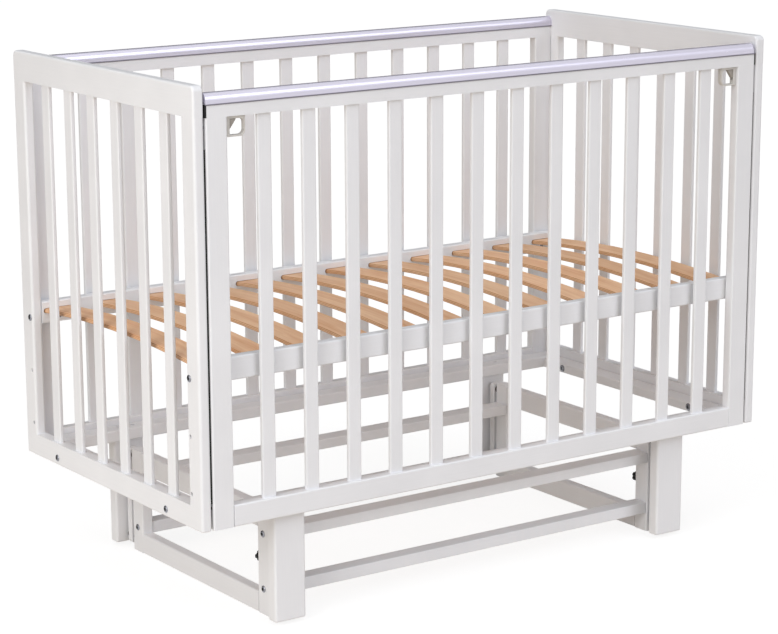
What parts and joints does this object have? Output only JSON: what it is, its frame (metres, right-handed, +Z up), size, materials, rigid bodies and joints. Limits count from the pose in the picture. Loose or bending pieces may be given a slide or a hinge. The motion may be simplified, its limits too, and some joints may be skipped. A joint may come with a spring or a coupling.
{
  "type": "crib",
  "caption": "Slatted baby crib with a drop side, hung on four swing links from a low stand so the body sways lengthwise.",
  "frame": {"origin": "middle of the stand's footprint, on the floor", "axes": "+X along the crib to the right end as seen from the drop side, +Y from the drop side to the back, +Z up"},
  "size_m": [1.255, 0.644, 0.9605],
  "materials": {
    "white_painted_wood": "opaque white lacquer on hardwood, satin",
    "lamella_wood": "clear satin lacquer on bent birch plywood",
    "silver_cover": "silver-lilac moulded plastic, satin gloss",
    "black_plastic": "black moulded nylon",
    "zinc_steel": "bright zinc plate",
    "latch_plastic": "light grey moulded plastic"
  },
  "bodies": {
    "stand": {"stand_posts": "white_painted_wood", "stand_foot_rails": "white_painted_wood", "stand_head_rails": "white_painted_wood", "stand_head_bars": "white_painted_wood", "stand_foot_bars": "white_painted_wood", "stand_bolts": "zinc_steel", "stand_cross_nuts": "zinc_steel", "upper_pivot_screws": "zinc_steel", "upper_pivot_spacers": "black_plastic"},
    "link_front_left": {"link_front_left": "white_painted_wood"},
    "link_front_right": {"link_front_right": "white_painted_wood"},
    "link_back_left": {"link_back_left": "white_painted_wood"},
    "link_back_right": {"link_back_right": "white_painted_wood"},
    "crib": {"end_left_top_rail": "white_painted_wood", "end_left_bottom_rail": "white_painted_wood", "end_left_posts": "white_painted_wood", "end_left_slats": "white_painted_wood", "end_right_top_rail": "white_painted_wood", "end_right_bottom_rail": "white_painted_wood", "end_right_posts": "white_painted_wood", "end_right_slats": "white_painted_wood", "back_top_rail": "white_painted_wood", "back_bottom_rail": "white_painted_wood", "back_stiles": "white_painted_wood", "back_slats": "white_painted_wood", "ledger_front": "white_painted_wood", "ledger_back": "white_painted_wood", "end_ledgers": "white_painted_wood", "hanging_boards_front": "white_painted_wood", "hanging_boards_back": "white_painted_wood", "bed_rail_front": "white_painted_wood", "bed_rail_back": "white_painted_wood", "bed_lamellas": "lamella_wood", "back_rail_cover": "silver_cover", "bed_bolts": "zinc_steel", "bed_cross_nuts": "zinc_steel", "ledger_bolts": "zinc_steel", "ledger_sleeve_nuts": "zinc_steel", "hanger_bolts": "zinc_steel", "lower_pivot_screws": "zinc_steel", "guide_pins": "black_plastic", "lower_pivot_spacers": "black_plastic"},
    "drop_side": {"drop_top_rail": "white_painted_wood", "drop_bottom_rail": "white_painted_wood", "drop_stiles": "white_painted_wood", "drop_slats": "white_painted_wood", "drop_rail_cover": "silver_cover", "guide_tracks": "black_plastic", "guide_blocks": "black_plastic", "latch_rings": "latch_plastic", "latch_springs": "zinc_steel"},
    "latch_left": {"latch_trigger_left": "latch_plastic", "latch_bolt_left": "zinc_steel"},
    "latch_right": {"latch_trigger_right": "latch_plastic", "latch_bolt_right": "zinc_steel"},
    "knob_left": {"lock_knob_left": "black_plastic", "lock_stud_left": "zinc_steel"},
    "knob_right": {"lock_knob_right": "black_plastic", "lock_stud_right": "zinc_steel"}
  },
  "joints": [
    {"name": "swing", "type": "hinge", "parent": "stand", "child": "link_front_left", "pos_m": [-0.435, -0.2574, 0.1845], "axis": [0, 1, 0], "range_deg": [-12, 12]},
    {"name": "crib_level", "type": "hinge", "parent": "link_front_left", "child": "crib", "pos_m": [-0.435, -0.2574, 0.0225], "axis": [0, 1, 0], "range_deg": [-12, 12]},
    {"name": "link_front_right_swing", "type": "hinge", "parent": "stand", "child": "link_front_right", "pos_m": [0.435, -0.2574, 0.1845], "axis": [0, 1, 0], "range_deg": [-12, 12]},
    {"name": "link_back_left_swing", "type": "hinge", "parent": "stand", "child": "link_back_left", "pos_m": [-0.435, 0.2574, 0.1845], "axis": [0, 1, 0], "range_deg": [-12, 12]},
    {"name": "link_back_right_swing", "type": "hinge", "parent": "stand", "child": "link_back_right", "pos_m": [0.435, 0.2574, 0.1845], "axis": [0, 1, 0], "range_deg": [-12, 12]},
    {"name": "drop", "type": "slide", "parent": "crib", "child": "drop_side", "axis": [0, 0, 1], "range_m": [-0.18, 0]},
    {"name": "latch_left_pull", "type": "slide", "parent": "drop_side", "child": "latch_left", "axis": [1, 0, 0], "range_m": [0, 0.0065], "stiffness_N_per_m": 300, "springref_m": -0.01},
    {"name": "latch_right_pull", "type": "slide", "parent": "drop_side", "child": "latch_right", "axis": [-1, 0, 0], "range_m": [0, 0.0065], "stiffness_N_per_m": 300, "springref_m": -0.01},
    {"name": "knob_left_turn", "type": "hinge", "parent": "stand", "child": "knob_left", "pos_m": [-0.435, -0.2, 0.1005], "axis": [0, 1, 0], "range_deg": [0, 360]},
    {"name": "knob_right_turn", "type": "hinge", "parent": "stand", "child": "knob_right", "pos_m": [0.435, -0.2, 0.1005], "axis": [0, 1, 0], "range_deg": [0, 360]}
  ],
  "couplings": [
    {"joint": "crib_level", "follows": "swing", "ratio": -1},
    {"joint": "link_front_right_swing", "follows": "swing", "ratio": 1},
    {"joint": "link_back_left_swing", "follows": "swing", "ratio": 1},
    {"joint": "link_back_right_swing", "follows": "swing", "ratio": 1}
  ]
}
